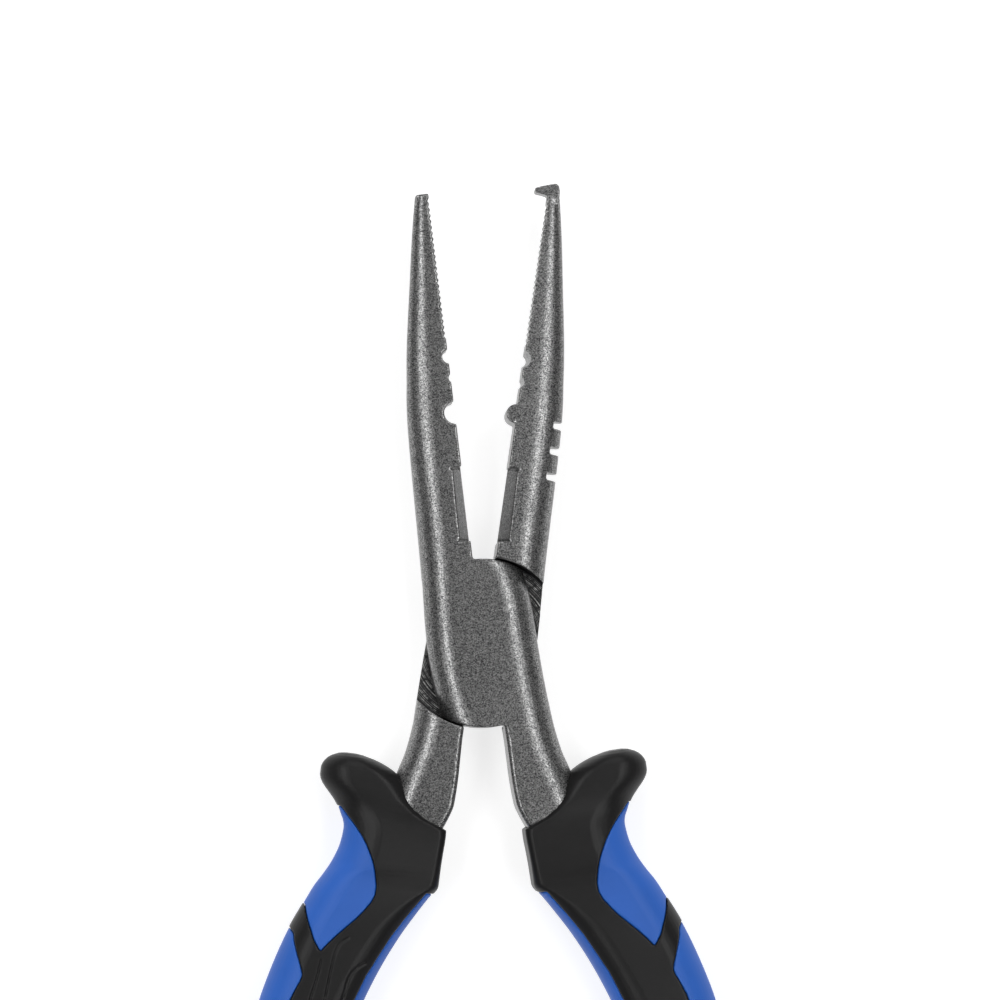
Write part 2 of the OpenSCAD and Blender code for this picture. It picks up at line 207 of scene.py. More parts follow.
def section(row, n):
    """Closed outline at one y: (y, left x, right x, half height, left rx, rz, right rx, rz)."""
    y, xl, xr, h, al, bl, ar, br = row
    bl, br = min(bl, h * 0.98), min(br, h * 0.98)
    corners = ((xr - ar, h - br, ar, br, 0), (xl + al, h - bl, al, bl, 90),
               (xl + al, bl - h, al, bl, 180), (xr - ar, br - h, ar, br, 270))
    out = []
    for cx, cz, rx, rz, start in corners:
        for i in range(n + 1):
            a = math.radians(start + 90 * i / n)
            out.append((cx + rx * math.cos(a), y, cz + rz * math.sin(a)))
    return np.array(out)


def turned(points, degrees):
    """Points of one section turned about the pivot, fading in below it."""
    a = math.radians(degrees * share(-points[0, 1] / SHOULDER_R))
    x, y, z = points.T
    return np.stack((x * math.cos(a) - y * math.sin(a), x * math.sin(a) + y * math.cos(a), z), 1)


def new_object(name, mesh):
    obj = bpy.data.objects.new(name, mesh)
    bpy.context.scene.collection.objects.link(obj)
    return obj


def skin(name, rows, n=8, turn=0.0):
    """Closed mesh stretched over a list of sections."""
    rings = [turned(section(r, n), turn) for r in rows]
    k = len(rings[0])
    last = (len(rings) - 1) * k
    faces = [tuple(range(k - 1, -1, -1)), tuple(range(last, last + k))]
    for a in range(0, last, k):
        for j in range(k):
            q = (j + 1) % k
            faces.append((a + j, a + q, a + k + q, a + k + j))
    mesh = bpy.data.meshes.new(name)
    mesh.from_pydata([tuple(p) for p in np.concatenate(rings)], [], faces)
    return outward(new_object(name, mesh))


def outward(obj):
    """Merge doubles and turn every face outwards."""
    bm = bmesh.new()
    bm.from_mesh(obj.data)
    bmesh.ops.remove_doubles(bm, verts=bm.verts, dist=1e-5)
    bmesh.ops.recalc_face_normals(bm, faces=bm.faces)
    bm.to_mesh(obj.data)
    bm.free()
    return obj


def prism(name, points, low=-FAR, high=FAR, axis="Z"):
    """Closed prism on a polygon: drawn in XY and raised along Z, or in XZ and along Y."""
    n = len(points)
    at = (lambda p, t: (p[0], p[1], t)) if axis == "Z" else (lambda p, t: (p[0], t, p[1]))
    verts = [at(p, low) for p in points] + [at(p, high) for p in points]
    faces = [tuple(range(n)), tuple(range(2 * n - 1, n - 1, -1))]
    faces += [(i, (i + 1) % n, n + (i + 1) % n, n + i) for i in range(n)]
    mesh = bpy.data.meshes.new(name)
    mesh.from_pydata(verts, [], faces)
    return outward(new_object(name, mesh))


def disc_points(x, y, r, n=96):
    angles = [2 * math.pi * i / n for i in range(n)]
    return [(x + r * math.cos(a), y + r * math.sin(a)) for a in angles]


def drum(name, x, y, r, low=-2 * FAR, high=2 * FAR, n=96):
    return prism(name, disc_points(x, y, r, n), low, high)


def lathe(name, profile, n=128, x=0.0, y=0.0):
    """Closed solid of revolution, from (radius, z) points that start and end on its axis."""
    verts, faces, rings = [], [], []
    for r, z in profile:
        ring = disc_points(0, 0, r, n if r else 1)
        rings.append(list(range(len(verts), len(verts) + len(ring))))
        verts += [(px, py, z) for px, py in ring]
    for a, b in zip(rings, rings[1:]):
        for i in range(n):
            j = (i + 1) % n
            ring = [a[i % len(a)], a[j % len(a)], b[j % len(b)], b[i % len(b)]]
            faces.append(tuple(dict.fromkeys(ring)))
    mesh = bpy.data.meshes.new(name)
    mesh.from_pydata([(vx + x, vy + y, vz) for vx, vy, vz in verts], [], faces)
    return outward(new_object(name, mesh))


def tapered_notch(x, y, r, flare):
    """Round notch across a jaw that widens by flare towards the jaw's outer face."""
    h = jaw_height(y)
    wide, waist = r + flare, r + flare * 0.35
    return lathe("tapered_notch", [
        (0, -h - 1), (wide, -h - 1), (wide, -h + 0.4), (waist, 0), (r, h), (r, h + 1), (0, h + 1)],
        96, x, y)


def shifted(points, d):
    """Polygon with every edge moved outwards by d; sharp corners are kept from running away."""
    sharpest = 0.35
    c = np.array(points, float)
    after = np.roll(c, -1, axis=0)
    area = (c[:, 0] * after[:, 1] - after[:, 0] * c[:, 1]).sum()
    d = d if area > 0 else -d
    out = []
    for i in range(len(c)):
        u, v = c[i] - c[i - 1], after[i] - c[i]
        u, v = u / np.linalg.norm(u), v / np.linalg.norm(v)
        side = np.array([u[1] + v[1], -u[0] - v[0]])
        out.append(tuple(c[i] + side * d / max(sharpest, 1 + u @ v)))
    return out


# ---------------------------------------------------------------- modifiers and clean-up

def combine(obj, others, operation):
    """Add a boolean modifier to obj for each of the others."""
    for other in others:
        mod = obj.modifiers.new(operation.title(), "BOOLEAN")
        mod.operation, mod.object, mod.solver = operation, other, "MANIFOLD"
    return obj


def settle(obj):
    """Bake the modifiers of obj into its mesh and delete the cutters they used."""
    helpers = {m.object for m in obj.modifiers if m.type == "BOOLEAN"}
    dg = bpy.context.evaluated_depsgraph_get()
    mesh = bpy.data.meshes.new_from_object(obj.evaluated_get(dg), depsgraph=dg)
    obj.modifiers.clear()
    obj.data = mesh
    for h in helpers:
        bpy.data.objects.remove(h)
    return obj


def even_skin(obj, voxel):
    """One even skin of small faces with soft edges."""
    remesh = obj.modifiers.new("Even skin", "REMESH")
    remesh.mode, remesh.voxel_size = "VOXEL", voxel * 1
    smooth = obj.modifiers.new("Soft edges", "SMOOTH")
    smooth.factor, smooth.iterations = 0.5, 2
    return settle(obj)


def thinned(obj, limit):
    """At most limit triangles, taken away where the skin is flattest."""
    triangles = sum(len(p.vertices) - 2 for p in obj.data.polygons)
    mod = obj.modifiers.new("Fewer faces", "DECIMATE")
    mod.ratio = min(1, limit / triangles)
    return settle(obj)


def place(obj, side, grip=False):
    """Put a closed-position shape where it belongs and scale it to metres."""
    opened, spin = (HALF_OPEN, SET_RIGHT) if side == "right" else (-HALF_OPEN, SET_LEFT)
    m = Matrix.Rotation(math.radians(opened), 4, "Z")
    if side == "left":
        m = m @ Matrix.Rotation(math.pi, 4, "Y")
    if grip:
        m = m @ Matrix.Rotation(math.radians(spin), 4, "Z")
    obj.data.transform(Matrix.Scale(MM, 4) @ Matrix.Translation((0, 0, MID)) @ m)
    obj.data.polygons.foreach_set("use_smooth", [True] * len(obj.data.polygons))
    obj.data.update()
    return obj


def finish_piece(obj, body, node, materials):
    """Give a piece its materials, by the marks on its faces, and tell the frame about it."""
    marks = np.zeros(len(obj.data.polygons), np.int32)
    obj.data.polygons.foreach_get("material_index", marks)
    obj.data.materials.clear()
    for m in materials:
        obj.data.materials.append(m)
    obj.data.polygons.foreach_set("material_index", np.minimum(marks, len(materials) - 1))
    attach(obj, body)
    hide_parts(node)
    return obj


# ---------------------------------------------------------------- geometry nodes

def socket_id(tree, name):
    sockets = (i for i in tree.interface.items_tree if i.in_out == "INPUT")
    return next(i.identifier for i in sockets if i.name == name)


def node_tree(name, inputs):
    """New tree with geometry in and out, the given inputs, and its two end nodes."""
    tree = bpy.data.node_groups.new(name, "GeometryNodeTree")
    tree.interface.new_socket("Geometry", in_out="INPUT", socket_type="NodeSocketGeometry")
    for label, kind in inputs:
        tree.interface.new_socket(label, in_out="INPUT", socket_type=kind)
    tree.interface.new_socket("Geometry", in_out="OUTPUT", socket_type="NodeSocketGeometry")
    return tree, tree.nodes.new("NodeGroupInput"), tree.nodes.new("NodeGroupOutput")


def close_tree(tree, source, group_in, group_out):
    """End a tree in Realize Instances and Set Material."""
    real = tree.nodes.new("GeometryNodeRealizeInstances")
    paint = tree.nodes.new("GeometryNodeSetMaterial")
    tree.links.new(source, real.inputs["Geometry"])
    tree.links.new(real.outputs["Geometry"], paint.inputs["Geometry"])
    tree.links.new(group_in.outputs["Material"], paint.inputs["Material"])
    tree.links.new(paint.outputs["Geometry"], group_out.inputs["Geometry"])


def row_tree():
    """Repeats one cut at an even pitch along a line."""
    tree, gin, gout = node_tree("Row of cuts", [
        ("Count", "NodeSocketInt"), ("Pitch", "NodeSocketVector"),
        ("Material", "NodeSocketMaterial")])
    line = tree.nodes.new("GeometryNodeMeshLine")
    line.mode = "OFFSET"
    inst = tree.nodes.new("GeometryNodeInstanceOnPoints")
    tree.links.new(gin.outputs["Count"], line.inputs["Count"])
    tree.links.new(gin.outputs["Pitch"], line.inputs["Offset"])
    tree.links.new(line.outputs["Mesh"], inst.inputs["Points"])
    tree.links.new(gin.outputs["Geometry"], inst.inputs["Instance"])
    close_tree(tree, inst.outputs["Instances"], gin, gout)
    return tree


def groove_tree():
    """Sweeps a round graver along a path."""
    tree, gin, gout = node_tree("Engraved line", [
        ("Radius", "NodeSocketFloat"), ("Material", "NodeSocketMaterial")])
    curve = tree.nodes.new("GeometryNodeMeshToCurve")
    even = tree.nodes.new("GeometryNodeResampleCurve")
    even.inputs["Count"].default_value = 120
    ring = tree.nodes.new("GeometryNodeCurvePrimitiveCircle")
    ring.inputs["Resolution"].default_value = 12
    sweep = tree.nodes.new("GeometryNodeCurveToMesh")
    sweep.inputs["Fill Caps"].default_value = True
    tree.links.new(gin.outputs["Radius"], ring.inputs["Radius"])
    tree.links.new(gin.outputs["Geometry"], curve.inputs["Mesh"])
    tree.links.new(curve.outputs["Curve"], even.inputs["Curve"])
    tree.links.new(even.outputs["Curve"], sweep.inputs["Curve"])
    tree.links.new(ring.outputs["Curve"], sweep.inputs["Profile Curve"])
    close_tree(tree, sweep.outputs["Mesh"], gin, gout)
    return tree


def run_tree(obj, tree, **values):
    """Apply a node tree to obj; the named inputs are set by their identifiers."""
    mod = obj.modifiers.new(tree.name, "NODES")
    mod.node_group = tree
    for name, value in values.items():
        mod[socket_id(tree, name)] = value
    return settle(obj)


# ---------------------------------------------------------------- shader maths

class Val:
    """A shader socket that takes part in Python arithmetic."""

    def __init__(self, shader, socket):
        self.shader, self.socket = shader, socket

    def _math(self, operation, *others, swap=False):
        args = [self, *others]
        if swap:
            args.reverse()
        return self.shader.node("ShaderNodeMath", {"operation": operation}, *args)["Value"]

    def __add__(self, o):
        return self._math("ADD", o)

    __radd__ = __add__

    def __mul__(self, o):
        return self._math("MULTIPLY", o)

    __rmul__ = __mul__

    def __sub__(self, o):
        return self._math("SUBTRACT", o)

    def __rsub__(self, o):
        return self._math("SUBTRACT", o, swap=True)

    def __pow__(self, o):
        return self._math("POWER", o)

    def clipped(self):
        return self._math("MAXIMUM", 0.0)._math("MINIMUM", 1.0)


class Outputs:
    """The outputs of a node, by name, as values."""

    def __init__(self, shader, node):
        self.shader, self.node = shader, node

    def __getitem__(self, name):
        return Val(self.shader, self.node.outputs[name])


class Shader:
    """Builds one material's nodes."""

    def __init__(self, name):
        self.material = bpy.data.materials.new(name)
        self.material.use_nodes = True
        self.tree = self.material.node_tree
        self.bsdf = self.tree.nodes["Principled BSDF"]
        self.coords = self.node("ShaderNodeTexCoord")["Object"]

    def node(self, kind, settings=None, *ordered, **named):
        """A node of that type: its settings, then its sockets in order or by name."""
        made = self.tree.nodes.new(kind)
        for key, value in (settings or {}).items():
            setattr(made, key, value)
        by_name = [(made.inputs[key.replace("_", " ")], v) for key, v in named.items()]
        for socket, value in [*zip(made.inputs, ordered), *by_name]:
            self.set(socket, value)
        return Outputs(self, made)

    def set(self, socket, value):
        """A value is linked to the socket, and a number or colour is written on it."""
        if isinstance(value, Val):
            self.tree.links.new(value.socket, socket)
        else:
            socket.default_value = value

    def noise(self, size_mm, detail=2.0, roughness=0.5):
        """Noise with features of about that size."""
        return self.node("ShaderNodeTexNoise", {}, Vector=self.coords,
                         Scale=1.0 / (size_mm * MM), Detail=detail, Roughness=roughness)["Fac"]

    def lines(self, along, per_metre, detail):
        """Noise that changes only with one value, for fine parallel marks."""
        return self.node("ShaderNodeTexNoise", {"noise_dimensions": "1D"}, W=along,
                         Scale=per_metre, Detail=detail)["Fac"]

    def grains(self, size_mm):
        """Random value per small grain."""
        cell = self.node("ShaderNodeTexVoronoi", {"feature": "F1"}, Vector=self.coords,
                         Scale=1.0 / (size_mm * MM))
        return self.node("ShaderNodeSeparateColor", {}, cell["Color"])["Red"]

    def mix(self, factor, a, b):
        """Colour between a and b."""
        made = self.tree.nodes.new("ShaderNodeMix")
        made.data_type = "RGBA"
        self.set(made.inputs["Factor"], factor)
        colours = [s for s in made.inputs if s.type == "RGBA"]
        self.set(colours[0], a)
        self.set(colours[1], b)
        return Val(self, next(s for s in made.outputs if s.type == "RGBA"))

    def ramp(self, value, low, high):
        """0 below low, 1 above high."""
        return self.node("ShaderNodeMapRange", {"clamp": True}, value, low, high)["Result"]

    def bump(self, height, distance_mm, strength):
        """Fine relief on the surface."""
        made = self.node("ShaderNodeBump", {}, Height=height, Distance=distance_mm * MM,
                         Strength=strength)
        self.set(self.bsdf.inputs["Normal"], made["Normal"])

    def surface(self, **values):
        """Set the shader's own sockets and give the material back."""
        for name, value in values.items():
            self.set(self.bsdf.inputs[name.replace("_", " ")], value)
        return self.material


def rgb(colour):
    return (*colour[:3], 1.0)


def speckle(s):
    """Random grains, fine noise, and how light the paint is from dark grain to light grain."""
    grain = s.grains(GRAIN_MM)
    fine = s.noise(FINE_MM, 2.5, 0.6)
    return grain, fine, (grain ** 2 * 0.5 + s.ramp(fine, 0.4, 0.64) * 0.5).clipped()


def hammertone(settings):
    """Speckled dark grey paint on forged steel."""
    s = Shader("hammertone_paint")
    grain, fine, light = speckle(s)
    tone = (light + (s.noise(9.0, 2.0) - 0.5) * 0.1).clipped()
    s.bump(fine, 0.05, 0.08)
    return s.surface(
        Base_Color=s.mix(tone, rgb(settings.paint_dark), rgb(settings.paint_light)),
        Roughness=0.285 + 0.06 * (1 - grain), Metallic=0.85)


def lap_steel():
    """Dark, unpainted faces of the lap, with turning marks round the pivot. Their near-black is
    partly the steel's own colour, partly painted shade of the pocket and gap.
    """
    s = Shader("lap_steel")
    part = s.node("ShaderNodeSeparateXYZ", {}, s.coords)
    radius = (part["X"] * part["X"] + part["Y"] * part["Y"]) ** 0.5
    rings = s.lines(radius, 5200.0, 3.0)
    patches = s.noise(1.1, 4.0, 0.65)
    mark = (s.ramp(rings, 0.5, 0.64) * s.ramp(patches, 0.38, 0.6)).clipped()
    # Near-black base: the blackened steel's own colour, made darker still as painted shade of the
    # deep pocket
    black_steel_and_shade, bright = (0.012, 0.012, 0.013), (0.44, 0.44, 0.43)
    s.bump(rings + patches * 0.4, 0.05, 0.5)
    return s.surface(
        Base_Color=s.mix(mark, rgb(black_steel_and_shade), rgb(bright)),
        Roughness=0.55 - 0.2 * mark, Metallic=0.6)


def cutter_steel(settings):
    """Finely ground faces of the side cutter, in the same paint darkened as painted shade of the
    steep facets.
    """
    s = Shader("cutter_steel")
    grain, fine, light = speckle(s)
    part = s.node("ShaderNodeSeparateXYZ", {}, s.coords)
    strokes = s.lines(part["Y"], 2600.0, 2.0)
    tone = (light * 0.85 + strokes * 0.15).clipped()
    # The paint's grains taken down to 0.7 as painted shade, so the steep facets read darker than
    # the flats
    dark = tuple(c * 0.7 for c in settings.paint_dark)
    pale = tuple(c * 0.7 for c in settings.paint_light)
    s.bump(fine + strokes * 0.3, 0.05, 0.2)
    return s.surface(
        Base_Color=s.mix(tone, rgb(dark), rgb(pale)),
        Roughness=0.3 + 0.1 * (1 - grain), Metallic=0.8)


def blue_plastic(settings):
    """Hard blue core, moulded with a fine matte skin."""
    s = Shader("blue_core_plastic")
    skin_noise = s.noise(0.16, 2.0)
    broad = s.noise(14.0, 2.0)
    deep = tuple(c * 0.86 for c in settings.core_blue)
    s.bump(skin_noise, 0.018, 0.35)
    return s.surface(
        Base_Color=s.mix(s.ramp(broad, 0.3, 0.7), rgb(deep), rgb(settings.core_blue)),
        Roughness=0.46 + 0.14 * skin_noise)


def black_rubber(settings):
    """Soft black cover: matte, very slightly uneven."""
    s = Shader("black_cover_rubber")
    skin_noise = s.noise(0.13, 2.0)
    broad = s.noise(11.0, 3.0)
    pale = tuple(c * 1.45 for c in settings.cover_black)
    s.bump(skin_noise, 0.02, 0.4)
    return s.surface(
        Base_Color=s.mix(s.ramp(broad, 0.3, 0.75), rgb(settings.cover_black), rgb(pale)),
        Roughness=0.36 + 0.12 * skin_noise, Specular_IOR_Level=0.3)


# ---------------------------------------------------------------- forgings

def jaw_height(y):
    """Half thickness of a jaw: full at the joint, then an even taper that starts softly."""
    start, soft = 19.0, 4.0
    past = y - start
    run = 0.0 if past < -soft else past if past > soft else (past + soft) ** 2 / (4 * soft)
    return MID + (TIP_T / 2 - MID) * min(1, run / (JAW_LEN - start))


def forging_blank(name, turn):
    """Full-thickness forging: tang, shank, lapped body and jaw in one skin."""
    rows = [(y, xi, xo, s * MID, r, r * 0.95, CROWN_W * c, min(CROWN_H * c, s * MID - 0.1))
            for y, xi, xo, s, r, c in smooth_rows(TANG, 1.0)]
    rows += [(y, xl, xr, MID, CROWN_W, CROWN_H, CROWN_W, CROWN_H)
             for y, xl, xr in smooth_rows(LAP, 0.5)]
    for y, w in smooth_rows(JAW, 0.8):
        h = jaw_height(y)
        crown = min(CROWN_W, w * 0.66), min(CROWN_H, h * 0.82)
        rows.append((y, -w, -BITE, h, *crown, 0.15, 0.15))
    return skin(name, rows, 10, turn)


def box_points(x0, x1, y0, y1):
    return [(x0, y0), (x1, y0), (x1, y1), (x0, y1)]


def plate_corners(turn):
    """What is outside the round ends of the lapped plate."""
    def ring_cut(points, spin):
        block = prism("corner", points)
        block.data.transform(Matrix.Rotation(math.radians(spin), 4, "Z"))
        plate = drum("plate", 0, 0, SHOULDER_R, n=256)
        return settle(combine(block, [plate], "DIFFERENCE"))
    reach = SHOULDER_R + RUNNING_GAP
    return [ring_cut(box_points(-BITE, FAR, 0, reach), 0),
            ring_cut(box_points(-18.2, 1.8, -reach, 0), turn)]


def cutter_cuts(settings):
    """Bevels of the side cutter from both faces, and the relief slot at each end."""
    y0, y1 = CUTTER_Y, CUTTER_Y + settings.cutter_length / MM
    slope, edge, high, web, half_slot = 2.44 / 6.04, 0.12, 7.0, 0.6, 0.28
    cuts = []
    for sign in (1, -1):
        low_z, high_z = edge * sign, (edge + high) * sign
        pts = [(-BITE, low_z), (-BITE - slope * high, high_z), (3, high_z), (3, low_z)]
        cuts.append(prism("bevel", pts, y0, y1, "Y"))
    for y in (y0, y1):
        slot = box_points(-2.5, 1.5, y - half_slot, y + half_slot)
        cuts += [prism("relief", slot, web, FAR), prism("relief", slot, -FAR, -web)]
    return cuts


def tooth_row(settings, phase):
    """Cutter for the serrations, repeated by nodes; phase shifts it by a share of a tooth."""
    pitch, depth = settings.tooth_pitch / MM, settings.tooth_depth / MM
    y = TEETH_Y + (phase + 0.5) * pitch
    half = pitch * 0.49
    land = -BITE + 0.02
    tooth = prism("tooth", [(0.6, y - half), (0.6, y + half), (land, y + half),
                            (-BITE - depth, y), (land, y - half)], -8, 8)
    return run_tree(tooth, row_tree(), Count=settings.tooth_count, Pitch=(0, pitch, 0))


def slot_row():
    """Cutter for the three slots in the back of the hooked jaw, repeated by nodes."""
    slot = prism("slot", box_points(-12, -7.85, SLOTS_Y, SLOTS_Y + 1.5), -8, 8)
    return run_tree(slot, row_tree(), Count=3, Pitch=(0, SLOT_PITCH, 0))


def mark_faces(obj, settings):
    """Second material on the unpainted lap face and shoulder walls, whose near-black also paints
    the shade in the gap; third, paint darkened as painted shade, on the cutter.
    """
    mesh = obj.data
    n = len(mesh.polygons)
    centre, normal = np.empty(n * 3, np.float32), np.empty(n * 3, np.float32)
    mesh.polygons.foreach_get("center", centre)
    mesh.polygons.foreach_get("normal", normal)
    centre, normal = centre.reshape(-1, 3), normal.reshape(-1, 3)
    (x, y, z), (nx, ny, nz) = centre.T, normal.T
    radius = np.hypot(x, y)
    flat = (np.abs(z - LAP_GAP / 2) < 0.25) & (radius < SHOULDER_R + 0.6) & (nz < -0.6)
    # The shoulder walls take the near-black steel too, as painted shade of the gap round the plate
    wall = (radius > SHOULDER_R) & (radius < SHOULDER_R + 0.75) & (z < -0.1)
    wall &= (np.abs(nz) < 0.6) & (nx * x + ny * y < 0)
    y0, y1 = CUTTER_Y + 0.25, CUTTER_Y + settings.cutter_length / MM - 0.25
    cutter = (y > y0) & (y < y1) & (nx > 0.8) & (np.abs(nz) > 0.2)
    marks = np.where(cutter, 2, flat | wall).astype(np.int32)
    mesh.polygons.foreach_set("material_index", marks)


def forging(name, turn, cuts, extras, settings):
    """One half: the blank with its extras added, and room cut for the other half and the rivet."""
    obj = forging_blank(name, turn)
    combine(obj, extras, "UNION")
    room = drum("other_plate", 0, 0, SHOULDER_R + RUNNING_GAP, -FAR, LAP_GAP / 2, 256)
    combine(obj, [*plate_corners(turn), room, *cutter_cuts(settings), *cuts], "DIFFERENCE")
    settle(obj)
    thinned(even_skin(obj, settings.detail / MM), FACE_LIMIT)
    mark_faces(obj, settings)
    return obj


def upper_forging(settings):
    """Front half, with the plain jaw and a seat for the rivet that stops under the paint."""
    r, top = RIVET_R + 0.02, MID - 0.5
    cuts = [
        tooth_row(settings, 0.0), drum("round_notch", 0.1, 57.8, 1.4),
        drum("small_notch", 0.35, 53.4, 0.9), drum("bump_notch", 0, BUMP_Y, 2.25),
        lathe("blind_seat", [(0, -FAR), (r, -FAR), (r, top), (0, top)])]
    y, z = JAW_LEN, TIP_T / 2 - 0.35
    tip = prism("tip", [
        (-2.5, y - 0.8), (-2.5, y + 0.1), (-BITE, y + 0.15), (-BITE, y - 0.8)], -z, z)
    return forging("upper_half_forging", SET_RIGHT, cuts, [tip], settings)


def lower_forging(settings):
    """Back half, with the hooked jaw, the crimping bump and a running bore for the rivet."""
    y, z = JAW_LEN, TIP_T / 2 - 0.1
    hook = prism("hook", [
        (-2.7, y - 1.2), (-2.5, y + 1.5), (-2.15, y + 2.5), (-1.5, y + 2.9), (0, y + 2.4),
        (1.5, y + 1.85), (2.45, y + 1.4), (2.6, y + 0.9), (2.3, y + 0.5), (0.1, y + 0.25),
        (-0.15, y + 0.2), (-0.15, y - 1.2)], -z, z)
    h = jaw_height(BUMP_Y) - 0.04
    bump = drum("crimp_bump", 0, BUMP_Y, 1.9, -h, h)
    play = 0.09
    r, head = RIVET_R + play, HEAD_R + play * 1.6
    seat = lathe("sunk_bore", [
        (0, -FAR), (r, -FAR), (r, MID - HEAD_H), (head, MID), (head, FAR), (0, FAR)])
    cuts = [
        tooth_row(settings, -0.5), tapered_notch(0.3, 57.6, 1.1, 0.65),
        tapered_notch(0.4, 52.8, 0.85, 0.35), slot_row(), seat]
    return forging("lower_half_forging", SET_LEFT, cuts, [bump, hook], settings)


# ---------------------------------------------------------------- grips

def grip_skin(name, inset=0.0):
    """Outside of a grip, or the same drawn in by inset."""
    gh = MID + PROUD
    rows = []
    for y, xl, xr, s, al, bl, ar, br in smooth_rows(GRIP, 0.8):
        rows.append((y, xl + inset, xr - inset, s * gh - inset, al, bl, ar, br))
    return domed(skin(name, rows, 10))


def domed(obj):
    """Crown the broad faces of a grip a little and sink the valley between guard and palm."""
    rows = np.array([(r[0], (r[1] + r[2]) / 2, (r[2] - r[1]) / 2) for r in GRIP])
    co = np.empty(len(obj.data.vertices) * 3)
    obj.data.vertices.foreach_get("co", co)
    co = co.reshape(-1, 3)
    centre = np.interp(co[:, 1], rows[:, 0], rows[:, 1])
    half = np.interp(co[:, 1], rows[:, 0], rows[:, 2])
    across = np.clip((co[:, 0] - centre) / half, -1, 1)
    valley = np.exp(-(((co[:, 1] + 35.5) / 4.2) ** 2)) * np.clip((co[:, 0] - 10) / 8, 0, 1)
    waist = np.exp(-(((co[:, 1] + 52) / 7.0) ** 2)) * np.clip((16 - co[:, 0]) / 10, 0, 1)
    crown, valley_depth, waist_depth = 0.15, 0.13, 0.09
    co[:, 2] *= 1 - crown * across ** 2 - valley_depth * valley - waist_depth * waist
    obj.data.vertices.foreach_set("co", co.ravel())
    return obj


def core_skin(name):
    """Hard core under the cover, closer to the inner edge along the strip."""
    gh, w = MID + PROUD, COVER_WALL
    rows = []
    for y, xl, xr, s, *rounding in smooth_rows(GRIP, 1.0):
        if not -134 < y < -29:
            continue
        strip = share((-53 - y) / 3) * share((y + 119) / 3)
        end = 1.5 * share((-130 - y) / 4)
        rows.append((y, xl + w + (STRIP_WALL - w) * strip + end, xr - w - end, s * gh - w,
                     *(max(0.6, r - w / 2) for r in rounding)))
    return domed(skin(name, rows, 8))


def tang_void(name):
    """Room for the tang, a little longer than it at the lower end."""
    f, end = TANG_ROOM, TANG[0][0]
    rows = [(y - (0.2 if y == end else 0), xi - f, xo + f, s * MID + f,
             r, r * 0.95, CROWN_W * c, CROWN_H * c)
            for y, xi, xo, s, r, c in smooth_rows(TANG, 2.0)]
    return skin(name, rows, 6)


def windows(d):
    """The three openings where the core shows, larger by d all round."""
    return [prism("panel", shifted(p, d)) for p in (UPPER_PANEL, LOWER_PANEL, INNER_STRIP)]


def engraved_lines(obj, settings):
    """Fine contour lines, cut along their paths into one face of obj."""
    cutters, tree = [], groove_tree()
    dg = bpy.context.evaluated_depsgraph_get()
    for line in ENGRAVED:
        mesh = bpy.data.meshes.new("path")
        flat = smooth_rows(sorted((y, x) for x, y in line), 1.0)
        pts = [obj.ray_cast((x, y, -FAR), (0, 0, 1), depsgraph=dg)[1] for y, x in flat]
        mesh.from_pydata(pts, [(i, i + 1) for i in range(len(pts) - 1)], [])
        path = new_object("path", mesh)
        cutters.append(outward(run_tree(path, tree, Radius=settings.line_width / MM / 2)))
    return cutters


def cover_shape(settings):
    """Soft cover: a shell round the core, open at the panels."""
    obj = grip_skin("grip_cover")
    rooms = [core_skin("core_room"), *windows(settings.seam / MM / 2), tang_void("tang_room")]
    settle(combine(obj, rooms, "DIFFERENCE"))
    settle(combine(obj, engraved_lines(obj, settings), "DIFFERENCE"))
    return thinned(even_skin(obj, settings.detail / MM), FACE_LIMIT)


def core_shape(settings):
    """Hard core, standing up through the panels to just below the cover's surface."""
    below = 0.14
    obj = grip_skin("grip_core", below)
    first, *others = windows(-settings.seam / MM / 2)
    combine(obj, [settle(combine(first, others, "UNION"))], "INTERSECT")
    combine(obj, [core_skin("core_body")], "UNION")
    combine(obj, [tang_void("tang_room")], "DIFFERENCE")
    even_skin(settle(obj), settings.detail / MM * 1.2)
    return thinned(obj, FACE_LIMIT)


def copies(obj, name):
    """Right and left piece from one moulding."""
    twin = new_object("left_" + name, obj.data.copy())
    obj.name = "right_" + name
    return place(obj, "right", True), place(twin, "left", True)


# ---------------------------------------------------------------- settings

class PliersForging(bpy.types.PropertyGroup):
    """Sizes and paint of the two forged halves."""
    tooth_pitch: bpy.props.FloatProperty(
        name="Tooth pitch", description="Distance from tooth to tooth",
        default=1.2 * MM, unit="LENGTH", precision=5)
    tooth_depth: bpy.props.FloatProperty(
        name="Tooth depth", description="Depth of the serrations",
        default=0.43 * MM, unit="LENGTH", precision=5)
    tooth_count: bpy.props.IntProperty(
        name="Teeth", description="Number of serrations on each jaw", default=24, min=1)
    cutter_length: bpy.props.FloatProperty(
        name="Cutter length", description="Length of the side cutter",
        default=14.5 * MM, unit="LENGTH", precision=5)
    detail: bpy.props.FloatProperty(
        name="Detail", description="Finest face size of the painted skin",
        default=0.22 * MM, unit="LENGTH", precision=5)
    paint_dark: bpy.props.FloatVectorProperty(
        name="Paint, dark grain", description="Dark grains of the paint",
        default=(0.03, 0.03, 0.032), subtype="COLOR", size=3)
    paint_light: bpy.props.FloatVectorProperty(
        name="Paint, light grain", description="Light grains of the paint",
        default=(0.45, 0.45, 0.445), subtype="COLOR", size=3)


